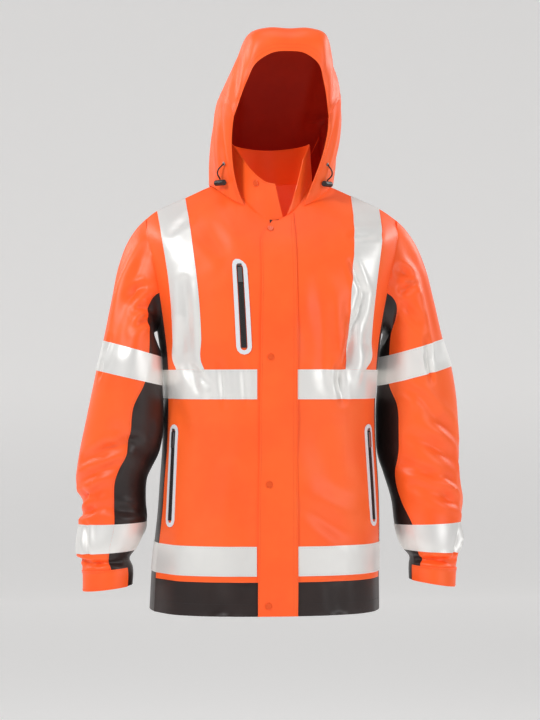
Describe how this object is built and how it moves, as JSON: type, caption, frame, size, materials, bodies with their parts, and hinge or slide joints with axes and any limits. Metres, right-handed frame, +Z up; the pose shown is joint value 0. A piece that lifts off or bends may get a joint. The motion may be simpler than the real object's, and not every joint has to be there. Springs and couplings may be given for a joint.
{
  "type": "hi-vis work jacket",
  "caption": "Hooded hi-vis work jacket in its worn, hollow shape with the hood up, reflective tape, dark side panels, a storm flap with snaps and zipped pockets",
  "frame": {"origin": "middle of the neck base, between the shoulder seams, where the wearer's shoulders hold the jacket", "axes": "+Z up, front faces -Y, wearer's left is +X"},
  "size_m": [0.6742, 0.2918, 1.0015],
  "materials": {
    "orange": "matt coated cloth",
    "dark": "matt coated cloth",
    "tape": "reflective tape",
    "zip": "woven zip tape",
    "metal": "dark nickel",
    "cord": "matt"
  },
  "bodies": {
    "jacket": {"back": "orange", "brace_left": "tape", "brace_right": "tape", "collar": "orange", "collar_snap": "orange", "cord_lock_left": "cord", "cord_lock_right": "cord", "cuff_tab_left": "orange", "cuff_tab_right": "orange", "front_left": "orange", "front_right": "orange", "front_zip": "zip", "hem_back": "dark", "hem_front_left": "dark", "hem_front_right": "dark", "hem_tape_back": "tape", "hem_tape_front_left": "tape", "hem_tape_front_right": "tape", "hem_tape_side_left": "tape", "hem_tape_side_right": "tape", "hood_centre": "orange", "hood_cord_left": "cord", "hood_cord_right": "cord", "hood_left": "orange", "hood_right": "orange", "pocket_frame_chest": "tape", "pocket_frame_hand_left": "tape", "pocket_frame_hand_right": "tape", "pocket_zip_chest": "zip", "pocket_zip_hand_left": "zip", "pocket_zip_hand_right": "zip", "side_left": "dark", "side_right": "dark", "sleeve_tape_lower_top_left": "tape", "sleeve_tape_lower_top_right": "tape", "sleeve_tape_lower_under_left": "tape", "sleeve_tape_lower_under_right": "tape", "sleeve_tape_upper_top_left": "tape", "sleeve_tape_upper_top_right": "tape", "sleeve_tape_upper_under_left": "tape", "sleeve_tape_upper_under_right": "tape", "sleeve_top_left": "orange", "sleeve_top_right": "orange", "sleeve_under_left": "dark", "sleeve_under_right": "dark", "snap_1": "orange", "snap_2": "orange", "snap_3": "orange", "snap_4": "orange", "storm_flap": "orange", "waist_tape_back": "tape", "waist_tape_front_left": "tape", "waist_tape_front_right": "tape", "waist_tape_side_left": "tape", "waist_tape_side_right": "tape"},
    "pull_chest": {"pocket_pull_chest": "metal"},
    "pull_hand_right": {"pocket_pull_hand_right": "metal"},
    "pull_hand_left": {"pocket_pull_hand_left": "metal"}
  },
  "joints": [
    {"name": "pull_chest_swing", "type": "hinge", "parent": "jacket", "child": "pull_chest", "pos_m": [-0.06298, -0.13489, -0.14004], "axis": [-0.9976, 0.0384, -0.058], "range_deg": [0, 140]},
    {"name": "pull_hand_right_swing", "type": "hinge", "parent": "jacket", "child": "pull_hand_right", "pos_m": [-0.1727, -0.08038, -0.419], "axis": [-0.4611, 0.8851, 0.0626], "range_deg": [0, 140]},
    {"name": "pull_hand_left_swing", "type": "hinge", "parent": "jacket", "child": "pull_hand_left", "pos_m": [0.16274, -0.09036, -0.419], "axis": [-0.5591, -0.8245, -0.0879], "range_deg": [0, 140]}
  ]
}
